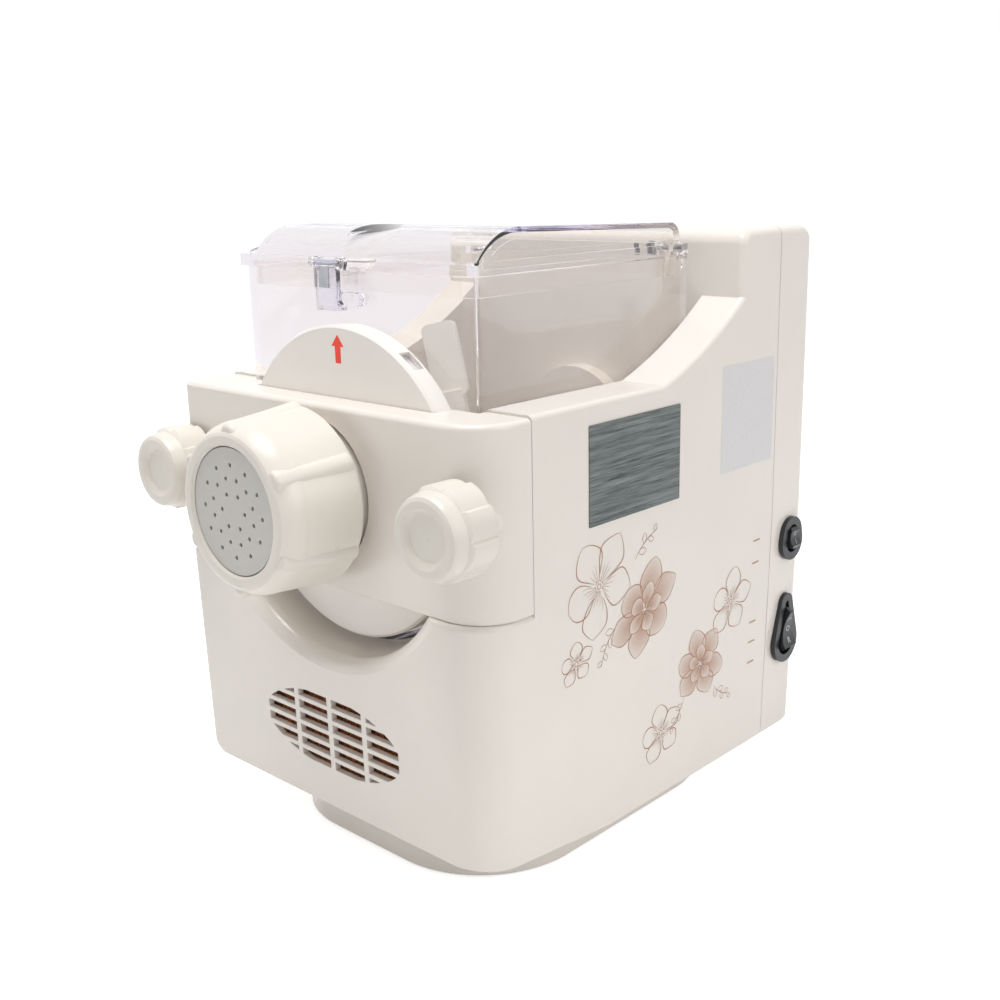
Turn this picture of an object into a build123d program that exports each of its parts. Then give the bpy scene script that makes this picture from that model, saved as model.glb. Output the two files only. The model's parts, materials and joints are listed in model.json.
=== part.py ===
from build123d import *
import math
import os

# Electric pasta maker, millimetres.  +Z is up, the floor is z = 0, the front is -Y.
# The extrusion axis runs along Y, at x = 0 and z = AXIS_Z.

# ---------------------------------------------------------------- driving dimensions
HALF_WIDTH = 100.0
BODY_FRONT = -126.5
YOKE_FRONT = -123.5
YOKE_BACK = -94.0
SEAM_Y = 92.0
BODY_BACK = 123.5
WALL = 3.0
SHELL_GAP = 0.3

BODY_BOTTOM = 18.5
BODY_BOTTOM_FRONT = 28.0
YOKE_BOTTOM = 139.0
YOKE_TOP = 221.5
CHEEK_TOP = 222.5
TOWER_FRONT = 59.5
TOWER_TOP = 288.0
FRONT_LEFT_R = 3.5
FRONT_RIGHT_R = 22.0
LEDGE_R = 2.5
FOOT_CORNER_R = 9.0
REAR_CORNER_R = 6.0
REAR_RIM_R = 11.0
TOWER_CORNER_R = 4.0
CHEEK_RIM_R = 2.5
DRAFT_DEG = 1.3

AXIS_Z = 182.0
TROUGH_R = 76.0
RECESS_R = 78.0
RECESS_LIP_R = 87.0
HUB_BOSS_R = 34.0

VENT_Z = 65.5
VENT_HALF_WIDTH = 48.0
VENT_HALF_HEIGHT = 19.0

BOWL_HALF_WIDTH = 75.2
BOWL_FRONT = -98.4
BOWL_BACK = 47.2
BOWL_TOP = 276.0
BOWL_WALL = 2.6
BOWL_MOUTH_R = 66.3

LID_HALF_WIDTH = 75.2
LID_BAND_HALF_WIDTH = 77.2
LID_FRONT = -102.5
LID_BACK = 47.6
LID_BOTTOM = 276.4
LID_SKIRT_BOTTOM = 267.4
LID_WALL = 2.4
LID_BROW = (-72.0, 264.0)
LID_BROW_R = 31.0
LID_SHOULDER = (34.0, 285.0)
LID_SHOULDER_R = 7.0
HINGE_Y = 50.5
HINGE_Z = 279.5
HINGE_PIN_R = 1.5
RUNNING_GAP = 0.08

DISC_R = 71.5
DISC_FRONT = -108.5
DISC_BACK = -98.7
BARREL_R = 30.0
BARREL_BORE_R = 25.5
BARREL_FRONT = -163.0

NUT_FRONT = -170.5
NUT_BACK = -131.0
NUT_MOUTH_R = 27.9
NUT_RIBS = 6
NUT_RIB_R = 5.0
DIE_FLANGE_R = 29.6
DIE_FACE = -169.0
DIE_HOLE_R = 1.0
DIE_RINGS = ((6, 7.9, 0.0), (12, 14.2, 15.0), (12, 20.0, 0.0))

KNOB_X = 92.0
KNOB_FRONT = -148.0
KNOB_BACK = -126.0
KNOB_R = 19.0
KNOB_FLUTES = 9
STUD_R = 4.0
POST_R = 6.5

PADDLE_R = 67.0
AUGER_R = 24.6
AUGER_TURNS = 2.1
HUB_R = 10.0

MOTOR_Z = 69.5
MOTOR_R = 31.0
IDLER_Z = 111.5
GEARBOX_R = 71.0
FINE_MODULE = 1.0
COARSE_MODULE = 1.5
PINION_TEETH = 12
IDLER_TEETH = 72
IDLER_PINION_TEETH = 14
OUTPUT_TEETH = 80
COARSE_Y = (70.0, 80.0)
FINE_Y = (82.5, 88.5)

ROCKER_TILT = 9.0
ROCKER_INSET = 5.4
SMALL_SWITCH = (110.0, 125.5)
LARGE_SWITCH = (109.0, 75.0)
SMALL_SWITCH_X = 99.8
LARGE_SWITCH_X = 98.6

INLET_X = -55.0
INLET_Z = 62.0


# ---------------------------------------------------------------- helpers
def along_x(sketch, x0, x1):
    """Extrude a (y, z) sketch between two x planes."""
    return extrude(Plane((x0, 0, 0), (0, 1, 0), (1, 0, 0)) * sketch, x1 - x0)


def along_y(sketch, y0, y1):
    """Extrude an (x, z) sketch between two y planes."""
    return extrude(Plane((0, y1, 0), (1, 0, 0), (0, -1, 0)) * sketch, y1 - y0)


def along_z(sketch, z0, z1):
    """Extrude an (x, y) sketch between two z planes."""
    return extrude(Plane((0, 0, z0)) * sketch, z1 - z0)


def block(x0, x1, y0, y1, z0, z1):
    return Pos(x0, y0, z0) * Box(x1 - x0, y1 - y0, z1 - z0, align=Align.MIN)


def rod(radius, y0, y1, x=0.0, z=AXIS_Z):
    """Cylinder along Y."""
    return along_y(Pos(x, z) * Circle(radius), y0, y1)


def ring(outer, inner, y0, y1, x=0.0, z=AXIS_Z):
    return rod(outer, y0, y1, x, z) - rod(inner, y0 - 1, y1 + 1, x, z)


def rod_x(radius, x0, x1, y, z):
    return along_x(Pos(y, z) * Circle(radius), x0, x1)


def rod_z(radius, z0, z1, x, y):
    return along_z(Pos(x, y) * Circle(radius), z0, z1)


def turned(points, x=0.0, z=AXIS_Z, angle=360.0):
    """Revolve a closed (radius, y) outline about the line along Y through (x, z)."""
    outline = make_face(Polyline(*points, close=True))
    return revolve(Plane((x, 0, z)) * outline, Axis((x, 0, z), (0, 1, 0)), angle)


def about_axis(shape, degrees, x=0.0, z=AXIS_Z):
    """Turn a shape about a line along Y."""
    return shape.rotate(Axis((x, 0, z), (0, 1, 0)), degrees)


def face_of(points):
    return make_face(Polyline(*points, close=True))


# ---------------------------------------------------------------- housing shells
def side_profile(inset):
    """(y, z) outline of the whole body; the cheek tops rise to the tower in one arc."""
    line = Polyline(
        (YOKE_FRONT, CHEEK_TOP), (YOKE_FRONT, YOKE_BOTTOM), (BODY_FRONT, YOKE_BOTTOM),
        (BODY_FRONT, BODY_BOTTOM_FRONT), (-40.5, BODY_BOTTOM),
        (BODY_BACK, BODY_BOTTOM), (BODY_BACK, TOWER_TOP), (TOWER_FRONT, TOWER_TOP),
        (TOWER_FRONT, 256.0),
    )
    rise = ThreePointArc((TOWER_FRONT, 256.0), (28.0, 236.0), (-4.0, CHEEK_TOP))
    cheek = Line((-4.0, CHEEK_TOP), (YOKE_FRONT, CHEEK_TOP))
    face = make_face(line + rise + cheek)
    back = [v for v in face.vertices() if v.X > BODY_BACK - 1]
    face = fillet(back, REAR_RIM_R)
    brow = [v for v in face.vertices() if abs(v.X - TOWER_FRONT) < 0.1 and v.Y > TOWER_TOP - 1]
    face = fillet(brow, 7.0)
    return offset(face, -inset, kind=Kind.INTERSECTION) if inset else face


def plan_profile(inset, front):
    """(x, y) outline: one broad front corner on the switch side, the others nearly square."""
    half = HALF_WIDTH - inset
    depth_mid = (front + BODY_BACK) / 2
    face = Pos(0, depth_mid) * Rectangle(2 * half, BODY_BACK - front - 2 * inset)
    for side, radius in ((-1, FRONT_LEFT_R), (1, FRONT_RIGHT_R)):
        corner = [v for v in face.vertices() if v.Y < depth_mid and v.X * side > half - 0.1]
        face = fillet(corner, max(radius - inset, 0.4))
    behind = [v for v in face.vertices() if v.Y > BODY_BACK - inset - 0.1]
    return fillet(behind, REAR_CORNER_R - inset)


def body_envelope(inset):
    """The body's moulded form: straight above the yoke's lower edge, drafted below it."""
    upper = along_z(plan_profile(inset, YOKE_FRONT), YOKE_BOTTOM, TOWER_TOP + 1)
    lower_plan = Plane((0, 0, YOKE_BOTTOM)) * plan_profile(inset, BODY_FRONT)
    lower = extrude(lower_plan, YOKE_BOTTOM - 10, dir=(0, 0, -1), taper=DRAFT_DEG)
    form = along_x(side_profile(inset), -HALF_WIDTH - 1, HALF_WIDTH + 1)
    return form & (upper + lower)


def foot_corner():
    """What is cut away to round the lower left edge, which runs down to the back."""
    side = -HALF_WIDTH + math.tan(math.radians(DRAFT_DEG)) * (YOKE_BOTTOM - BODY_BOTTOM_FRONT)
    size = FOOT_CORNER_R
    slope = math.degrees(math.atan2(BODY_BOTTOM_FRONT - BODY_BOTTOM, -40.5 - BODY_FRONT))
    bar = block(-5, size, 0, 120, -5, size)
    bar -= Pos(size, -1, size) * Rot(-90, 0, 0) * Cylinder(
        size, 130, align=(Align.CENTER, Align.CENTER, Align.MIN))
    return Pos(side, BODY_FRONT, BODY_BOTTOM_FRONT) * Rot(-slope, 0, 0) * Pos(0, -10, 0) * bar


def softened(envelope):
    """Round the tower's upright corners, then the rims of the cheeks."""
    corners = [edge for edge in envelope.edges()
               if abs(abs(edge.center().X) - HALF_WIDTH) < 0.1
               and abs(edge.center().Y - TOWER_FRONT) < 0.1
               and edge.bounding_box().size.Z > 10]
    rounded = fillet(corners, TOWER_CORNER_R)
    rims = [edge for edge in rounded.edges()
            if abs(abs(edge.center().X) - HALF_WIDTH) < 0.1
            and YOKE_TOP - 1 < edge.center().Z < TOWER_TOP - 0.5
            and edge.bounding_box().size.Y > 5]
    return fillet(rims, CHEEK_RIM_R)


def trough(radius, y0, y1):
    """U-shaped channel, open at the top, for the bowl."""
    return rod(radius, y0, y1) + block(-radius, radius, y0, y1, AXIS_Z, TOWER_TOP + 20)


def recess_flare():
    """Rounded mouth of the front recess, from the lip out to the flat front face."""
    start = (RECESS_R - 1, BODY_FRONT + 9.0)
    outline = make_face(
        Polyline((RECESS_R, BODY_FRONT + 9.0), start, (RECESS_R - 1, BODY_FRONT - 1),
                 (RECESS_LIP_R, BODY_FRONT - 1), (RECESS_LIP_R, BODY_FRONT))
        + ThreePointArc((RECESS_LIP_R, BODY_FRONT), (RECESS_R + 2.6, BODY_FRONT + 3.0),
                        (RECESS_R, BODY_FRONT + 9.0))
    )
    return revolve(Plane((0, 0, AXIS_Z)) * outline, Axis((0, 0, AXIS_Z), (0, 1, 0)))


def vent_slots():
    """Four columns of slots, clipped to an oval, leaving straight bars between them."""
    columns, rows, bar_x, bar_z = 4, 6, 3.2, 2.2
    pitch_x = 2 * VENT_HALF_WIDTH / columns
    pitch_z = 2 * VENT_HALF_HEIGHT / rows
    grid = Sketch()
    for column in range(columns):
        for row in range(rows):
            x = (column - (columns - 1) / 2) * pitch_x
            z = VENT_Z + (row - (rows - 1) / 2) * pitch_z
            grid += Pos(x, z) * Rectangle(pitch_x - bar_x, pitch_z - bar_z)
    oval = Pos(0, VENT_Z) * Ellipse(VENT_HALF_WIDTH, VENT_HALF_HEIGHT)
    return along_y(grid & oval, BODY_FRONT - 2, BODY_FRONT + 12)


def make_main_housing(envelope, hollow):
    front = block(-120, 120, -140, SEAM_Y, 0, 320)
    shell = (envelope & front) - foot_corner()
    shell -= block(-120, 120, -140, YOKE_BACK + SHELL_GAP, YOKE_BOTTOM - SHELL_GAP, 320)
    ledge = [edge for edge in shell.edges()
             if abs(edge.center().Z - YOKE_BOTTOM + SHELL_GAP) < 0.1
             and edge.bounding_box().size.Z < 0.1 and edge.center().Y < YOKE_BACK - 1]
    shell = fillet(ledge, LEDGE_R)
    room = hollow & block(-120, 120, -140, SEAM_Y - 1, 0, 320)
    room += block(-HALF_WIDTH + WALL, HALF_WIDTH - WALL, SEAM_Y - 5, SEAM_Y + 1,
                  AXIS_Z, TOWER_TOP - REAR_RIM_R)
    room += block(-HALF_WIDTH + WALL + 3, HALF_WIDTH - WALL - 3, SEAM_Y - 5, SEAM_Y + 1,
                  BODY_BOTTOM + WALL, AXIS_Z)
    room -= trough(TROUGH_R + WALL, -140, TOWER_FRONT + WALL)
    room -= block(-120, 120, -140, YOKE_BACK + WALL, YOKE_BOTTOM - WALL, 320)
    room -= trough(RECESS_R + WALL, -140, YOKE_BACK + WALL)
    room -= rod(RECESS_LIP_R + WALL, -140, BODY_FRONT + 9 + WALL)
    shell -= room
    shell -= trough(TROUGH_R, -140, TOWER_FRONT)
    shell -= rod(RECESS_R, -140, YOKE_BACK)
    shell -= recess_flare()
    shell += rod(HUB_BOSS_R, 51.0, TOWER_FRONT + 1) & block(-50, 50, 51, 62, 100, 300)
    shell -= rod(17.0, 50, TOWER_FRONT + WALL + 1)
    shell -= vent_slots()
    for x in (-KNOB_X, KNOB_X):
        inner = x - math.copysign(2.0, x)
        boss = rod(8.5, YOKE_BACK + SHELL_GAP, YOKE_BACK + 26, inner)
        shell += boss & block(-HALF_WIDTH + 1, HALF_WIDTH - 1, -100, 0, 100, 250)
    for x in (-KNOB_X, KNOB_X):
        shell -= rod(STUD_R, YOKE_BACK - 1, YOKE_BACK + 21, x)
    for x in (45.7, 53.2):
        shell -= block(x - 2.0, x + 2.0, 58, TOWER_FRONT + WALL + 1, 274.9, 281.6)
    return shell


def make_rear_cover(envelope, hollow):
    shell = envelope & block(-120, 120, SEAM_Y + SHELL_GAP, 140, 0, 320)
    room = hollow & block(-120, 120, SEAM_Y - 5, 140, 0, 320)
    for x, z in cover_screw_points():
        room -= rod(5.0, SEAM_Y + 1, BODY_BACK + 5, x, z)
    shell -= room
    for outline, wall_x in ((small_switch_outline, SMALL_SWITCH_X),
                            (large_switch_outline, LARGE_SWITCH_X)):
        shell -= along_x(outline(1.6), 90, 110)
        shell -= along_x(outline(0.0), wall_x, 110)
    shell -= block(INLET_X - 13.7, INLET_X + 13.7, 110, 130, INLET_Z - 10, INLET_Z + 10)
    louvre = Rectangle(40, 3)
    for row in range(5):
        shell -= along_y(Pos(30, 52 + 7 * row) * louvre, 110, 130)
    for x, z in cover_screw_points():
        shell -= rod(1.7, SEAM_Y, BODY_BACK + 1, x, z)
        shell -= rod(3.6, BODY_BACK - 4, BODY_BACK + 1, x, z)
    return shell


def cover_screw_points():
    return [(x, z) for x in (-84.0, 84.0) for z in (36.0, 268.0)]


def make_cover_screws():
    screws = Part()
    for x, z in cover_screw_points():
        screws += rod(1.55, SEAM_Y - 8, BODY_BACK - 4, x, z)
        screws += rod(3.3, BODY_BACK - 4, BODY_BACK - 1.6, x, z)
    return screws


def make_screw_pillars():
    """Pillars inside the main housing that take the rear cover's screws."""
    pillars = Part()
    for x, z in cover_screw_points():
        side = math.copysign(1.0, x)
        post = rod(5.0, SEAM_Y - 26, SEAM_Y, x, z)
        web = block(min(x, side * 97.5), max(x, side * 97.5), SEAM_Y - 26, SEAM_Y, z - 1.5, z + 1.5)
        pillars += (post + web) - rod(1.55, SEAM_Y - 12, SEAM_Y + 1, x, z)
    return pillars


def make_base_plinth(envelope):
    """Low rounded pad that carries the body."""
    outline = Pos(0, -6.0) * RectangleRounded(160, 197, 54)
    rim = extrude(Plane((0, 0, 1.2)) * outline, 30, taper=0.8)
    inner = extrude(Plane((0, 0, 4.2)) * offset(outline, -3.0), 30, taper=0.8)
    pad = (rim - inner) - envelope
    for x, y in foot_points():
        pad -= rod_z(9.0, 0, 3.0, x, y)
        pad += rod_z(4.5, 3.0, 17.5, x, y) - envelope
    return pad - rod_z(15.0, 0, 3.0, 0, 0)


def foot_points():
    return [(x, y) for x in (-52.0, 52.0) for y in (-70.0, 62.0)]


def make_rubber_feet():
    feet = Part()
    for x, y in foot_points():
        feet += rod_z(8.8, 0.0, 3.0, x, y) - rod_z(3.5, -1, 1.4, x, y)
    return feet + rod_z(14.8, 0.0, 3.0, 0, 0)


def make_vent_filter():
    oval = Pos(0, VENT_Z) * Ellipse(VENT_HALF_WIDTH + 4, VENT_HALF_HEIGHT + 4)
    return along_y(oval, BODY_FRONT + 6.0, BODY_FRONT + 10.0)


# ---------------------------------------------------------------- clamp yoke and knobs
def make_front_yoke():
    """Crossbar that clamps the end disc; it wraps round both sides of the body."""
    plan = plan_profile(0, YOKE_FRONT) & (Pos(0, -124) * Rectangle(220, 60))
    bar = along_z(plan, YOKE_BOTTOM, YOKE_TOP)
    bar = fillet(bar.edges().filter_by(Axis.Z, reverse=True).filter_by_position(
        Axis.Z, YOKE_TOP - 0.1, YOKE_TOP + 0.1).filter_by_position(
        Axis.Y, -200, -100), 2.5)
    pocket = rod(DISC_R + 0.5, DISC_FRONT - SHELL_GAP, BOWL_FRONT)
    pocket += along_y(bowl_section(-0.4), BOWL_FRONT - SHELL_GAP, -80)
    room_plan = plan_profile(WALL, YOKE_FRONT) & (Pos(0, -124) * Rectangle(220, 60))
    room = along_z(room_plan, YOKE_BOTTOM + WALL, YOKE_TOP - WALL)
    room -= rod(DISC_R + WALL, DISC_FRONT - SHELL_GAP - WALL, BOWL_FRONT)
    room -= along_y(bowl_section(-WALL), BOWL_FRONT - WALL, -80)
    yoke = bar - room - pocket
    yoke += ring(BARREL_R + 7, BARREL_R + 3, YOKE_FRONT + 1, DISC_FRONT - SHELL_GAP)
    for x in (-KNOB_X, KNOB_X):
        yoke += rod(POST_R, YOKE_FRONT - 1.5, YOKE_BACK, x)
        yoke -= rod(STUD_R + 0.6, -140, -80, x)
    yoke -= rod(BARREL_R + 3, -140, -80)
    return yoke - block(-120, 120, YOKE_BACK, -60, 100, 260)


def ratchet_face(x):
    """Ring of shallow steps: each tooth rises slowly along an arc, then drops back."""
    pitch = 360.0 / KNOB_FLUTES
    outline = []

    def point(radius, degrees):
        angle = math.radians(degrees)
        return (x + radius * math.cos(angle), AXIS_Z + radius * math.sin(angle))

    for flute in range(KNOB_FLUTES):
        start = pitch * flute
        low, high = KNOB_R - 0.6, KNOB_R + 0.9
        foot, crest = point(low, start), point(high, start + 0.9 * pitch)
        middle = point((low + high) / 2 + 0.35, start + 0.45 * pitch)
        outline.append(ThreePointArc(foot, middle, crest))
        outline.append(Line(crest, point(low, start + pitch)))
    return make_face(outline)


def make_clamp_knob(x):
    """Ratchet-fluted grip with a smooth dished nose."""
    nose_r = KNOB_R - 1.6
    core = turned([(0, KNOB_BACK), (KNOB_R - 0.6, KNOB_BACK), (KNOB_R - 0.8, KNOB_FRONT + 7),
                   (nose_r, KNOB_FRONT + 2.4), (nose_r - 0.8, KNOB_FRONT + 0.7),
                   (nose_r - 2.4, KNOB_FRONT), (12.4, KNOB_FRONT), (11.2, KNOB_FRONT + 0.7),
                   (9.6, KNOB_FRONT + 2.4), (0, KNOB_FRONT + 2.8)], x)
    grip = along_y(ratchet_face(x), KNOB_BACK - 15.0, KNOB_BACK)
    shade = turned([(0, KNOB_BACK + 1), (KNOB_R + 1.4, KNOB_BACK + 1),
                    (KNOB_R + 1.4, KNOB_BACK - 12.6), (KNOB_R - 0.9, KNOB_BACK - 15.2),
                    (0, KNOB_BACK - 15.2)], x)
    knob = core + (grip & shade)
    knob -= rod(6.0, KNOB_BACK - 16, KNOB_BACK + 1, x)
    return knob


def make_knob_insert(x):
    """Threaded brass bush moulded into the knob."""
    return ring(6.0, STUD_R + 0.25, KNOB_BACK - 16, KNOB_BACK - 0.2, x)


def make_clamp_washer(x):
    return ring(POST_R + 1.5, STUD_R + 0.4, KNOB_BACK + 0.2, YOKE_FRONT - 1.7, x)


def make_yoke_studs():
    studs = Part()
    for x in (-KNOB_X, KNOB_X):
        studs += rod(STUD_R, KNOB_BACK - 14, YOKE_BACK + 21, x)
    return studs


# ---------------------------------------------------------------- bowl, lid and latch
def bowl_section(inset):
    """(x, z) outline: half round below the axis, straight walls above it."""
    half = BOWL_HALF_WIDTH - inset
    top = BOWL_TOP + (10 if inset else 0)
    upper = Pos(0, (AXIS_Z + top) / 2) * Rectangle(2 * half, top - AXIS_Z)
    return upper + Pos(0, AXIS_Z) * Circle(half)


def make_mixing_bowl():
    outer = along_y(bowl_section(0), BOWL_FRONT, BOWL_BACK)
    inner = along_y(bowl_section(BOWL_WALL), BOWL_FRONT + BOWL_WALL, BOWL_BACK - BOWL_WALL)
    bowl = outer - inner
    bowl -= rod(BOWL_MOUTH_R, BOWL_FRONT - 1, BOWL_FRONT + BOWL_WALL + 1)
    bowl -= rod(15.0, BOWL_BACK - BOWL_WALL - 1, BOWL_BACK + 1)
    catch = Pos(0.8, 264.0) * SlotOverall(14.5, 6.0)
    bowl += along_y(catch, BOWL_FRONT - 3.0, BOWL_FRONT)
    for x in (-64.0, 64.0):
        lug = Pos(HINGE_Y, HINGE_Z) * Circle(4.0)
        arm = face_of([(BOWL_BACK - 1, 262.0), (BOWL_BACK - 1, BOWL_TOP),
                       (HINGE_Y - 3.2, HINGE_Z + 2.4), (HINGE_Y + 4.0, HINGE_Z)])
        bowl += along_x(lug + arm, x - 2.5, x + 2.5)
        bowl -= rod_x(HINGE_PIN_R, x - 4, x + 4, HINGE_Y, HINGE_Z)
    cut = along_x(Pos(HINGE_Y, HINGE_Z) * Circle(5.0), -61.2, 61.2)
    return bowl - cut


def make_hinge_pins():
    pins = Part()
    for sign in (-1, 1):
        pins += rod_x(HINGE_PIN_R, min(sign * 55.0, sign * 66.5), max(sign * 55.0, sign * 66.5),
                      HINGE_Y, HINGE_Z)
    return pins


def make_bowl_bushing():
    """Bearing and seal ring in the bowl's rear wall."""
    return ring(15.0, HUB_R + RUNNING_GAP, BOWL_BACK - 6, BOWL_BACK + 2.4)


def lid_arch(inset):
    """(y, z) outline of the lid: a rounded brow, a long flat fall, a small rear shoulder."""
    def on_arc(centre, radius, degrees):
        angle = math.radians(degrees)
        return (centre[0] + (radius - inset) * math.cos(angle),
                centre[1] + (radius - inset) * math.sin(angle))

    foot, brow, crown = (on_arc(LID_BROW, LID_BROW_R, a) for a in (144.6, 117.3, 90.0))
    heel, elbow, back = (on_arc(LID_SHOULDER, LID_SHOULDER_R, a) for a in (90.0, 45.0, 0.0))
    sides = Polyline(back, (back[0], LID_BOTTOM), (foot[0], LID_BOTTOM), foot)
    return make_face(ThreePointArc(foot, brow, crown) + Line(crown, heel)
                     + ThreePointArc(heel, elbow, back) + sides)


def finger_grip():
    """Shallow oval dish sunk into the lid's brow, cut by the inside of a large torus."""
    middle_deg, depth, back_off, dish_r = 117.3, 1.5, 16.3, 75.0
    reach = LID_BROW_R - depth + back_off
    angle = math.radians(middle_deg)
    y = LID_BROW[0] - back_off * math.cos(angle)
    z = LID_BROW[1] - back_off * math.sin(angle)
    dish = Pos(0, y, z) * Rot(0, 90, 0) * Torus(reach + dish_r, dish_r)
    return dish & block(-20, 20, -104, -58, 270, 300)


def make_bowl_lid():
    shell = along_x(lid_arch(0), -LID_HALF_WIDTH, LID_HALF_WIDTH)
    band = block(-LID_BAND_HALF_WIDTH, LID_BAND_HALF_WIDTH, LID_FRONT, LID_BACK,
                 LID_BOTTOM, LID_BOTTOM + 5.6)
    shell += fillet(band.edges().filter_by(Axis.Z), 3.0)
    inside = LID_HALF_WIDTH - LID_WALL
    shell -= along_x(lid_arch(LID_WALL), -inside, inside)
    recess = lid_arch(5.0) & (Pos(-20, 300) * Rectangle(200, 31))
    shell -= along_x(recess, LID_HALF_WIDTH - 0.9, LID_HALF_WIDTH + 1)
    shell -= along_x(recess, -LID_HALF_WIDTH - 1, -LID_HALF_WIDTH + 0.9)
    wall = BOWL_HALF_WIDTH - BOWL_WALL - 0.6
    y0, y1 = BOWL_FRONT + BOWL_WALL + 1.0, BOWL_BACK - BOWL_WALL - 2.4
    skirt = block(-wall, wall, y0, y1, LID_SKIRT_BOTTOM, LID_BOTTOM + 2.0)
    skirt -= block(-wall + 2, wall - 2, y0 + 2, y1 - 2, LID_SKIRT_BOTTOM - 1, LID_BOTTOM + 3)
    shell += skirt
    shell -= finger_grip()
    shell -= block(-18.3, -2.7, LID_FRONT - 1, LID_FRONT + 2.6, LID_BOTTOM - 1, 284)
    for sign in (-1, 1):
        x0, x1 = sorted((sign * 57.0, sign * 61.0))
        ear = Pos(HINGE_Y, HINGE_Z) * Circle(4.0)
        arm = face_of([(LID_BACK - 4, LID_BOTTOM + 0.4), (LID_BACK - 4, LID_BOTTOM + 5.6),
                       (HINGE_Y, HINGE_Z + 4.0), (HINGE_Y, HINGE_Z - 3.4)])
        shell += along_x(ear + arm, x0, x1)
        shell -= rod_x(HINGE_PIN_R + RUNNING_GAP, x0 - 1, x1 + 1, HINGE_Y, HINGE_Z)
        notch_x = sorted((sign * 61.2, sign * 66.8))
        shell -= block(notch_x[0], notch_x[1], LID_BACK - 4.6, LID_BACK + 1,
                       LID_BOTTOM - 1, LID_BOTTOM + 9)
    for x in (45.7, 53.2):
        nose = face_of([(LID_BACK - 2, 276.6), (59.0, 277.2), (59.0, 279.6), (LID_BACK - 2, 281.6)])
        shell += along_x(nose, x - 1.5, x + 1.5)
    for sign in (-1, 1):
        x = -10.5 + sign * 9.0
        tab = Pos(-103.2, 279.6) * Circle(2.6)
        shell += along_x(tab + face_of([(-101.5, LID_BOTTOM), (-101.5, LID_BOTTOM + 5.6),
                                        (-103.2, 282.2), (-103.2, 277.0)]), x - 1.4, x + 1.4)
        shell -= rod_x(1.0, x - 2, x + 2, -103.2, 279.6)
    return shell


def make_latch_pin():
    return rod_x(1.0, -20.9, -0.1, -103.2, 279.6)


def make_lid_latch():
    """Clear tongue that hangs from the lid and hooks under the bowl's oval catch."""
    x0, x1 = -17.8, -3.2
    eye = Pos(-103.2, 279.6) * Circle(2.4)
    tongue = face_of([(-104.8, 279.6), (-104.6, 259.0), (-99.2, 259.0), (-99.2, 260.4),
                      (-102.4, 260.8), (-102.4, 276.0), (-101.6, 279.6)])
    latch = along_x(eye + tongue, x0, x1)
    latch += block(x0 + 1.5, x1 + 2.4, -105.6, -104.2, 262.5, 268.5)
    return latch - rod_x(1.0 + RUNNING_GAP, x0 - 1, x1 + 1, -103.2, 279.6)


def make_latch_springs():
    """Steel leaf and wire leg on the latch tongue."""
    leaf = block(-14.0, -7.6, -105.5, -104.9, 269.0, 277.4)
    return leaf + rod_z(0.55, 269.0, 277.4, -16.6, -105.4)


# ---------------------------------------------------------------- end disc, die and nut
def make_end_disc():
    """End plate of the bowl, with the extrusion barrel that passes through the yoke."""
    disc = turned([(0, DISC_BACK + 3.6), (65.8, DISC_BACK + 3.6), (65.8, DISC_BACK),
                   (DISC_R, DISC_BACK), (DISC_R, DISC_FRONT + 1.2),
                   (DISC_R - 1.2, DISC_FRONT), (0, DISC_FRONT)])
    disc += rod(BARREL_R, BARREL_FRONT, DISC_FRONT + 1)
    disc -= rod(BARREL_BORE_R, BARREL_FRONT - 1, DISC_BACK + 5)
    notch = Pos(40.6, 240.4) * Rot(0, 0, -34.6) * Rectangle(11.0, 7.0)
    return disc - along_y(notch, DISC_FRONT + 3.0, DISC_BACK - 1.0)


def make_disc_catch():
    plate = Pos(39.4, 238.7) * Rot(0, 0, -34.6) * Rectangle(10.6, 2.4)
    return along_y(plate, DISC_FRONT + 3.1, DISC_BACK - 1.1)


def make_disc_gasket():
    return ring(65.4, 61.8, DISC_BACK + 3.65, DISC_BACK + 5.4)


def die_hole_points():
    points = []
    for count, radius, first in DIE_RINGS:
        for hole in range(count):
            angle = math.radians(first + 360.0 / count * hole)
            points.append((radius * math.cos(angle), AXIS_Z + radius * math.sin(angle)))
    return points


def make_die_plate():
    """Shaping disc; the dough leaves through thirty round holes in three rings."""
    plate = turned([(0, BARREL_FRONT - 0.3), (DIE_FLANGE_R, BARREL_FRONT - 0.3),
                    (DIE_FLANGE_R, -166.8), (NUT_MOUTH_R - 0.5, -166.8),
                    (NUT_MOUTH_R - 0.5, DIE_FACE), (0, DIE_FACE)])
    holes = Sketch()
    for x, z in die_hole_points():
        holes += Pos(x, z) * RegularPolygon(DIE_HOLE_R, 8)
    return plate - along_y(holes, DIE_FACE - 1, BARREL_FRONT + 1)


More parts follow.
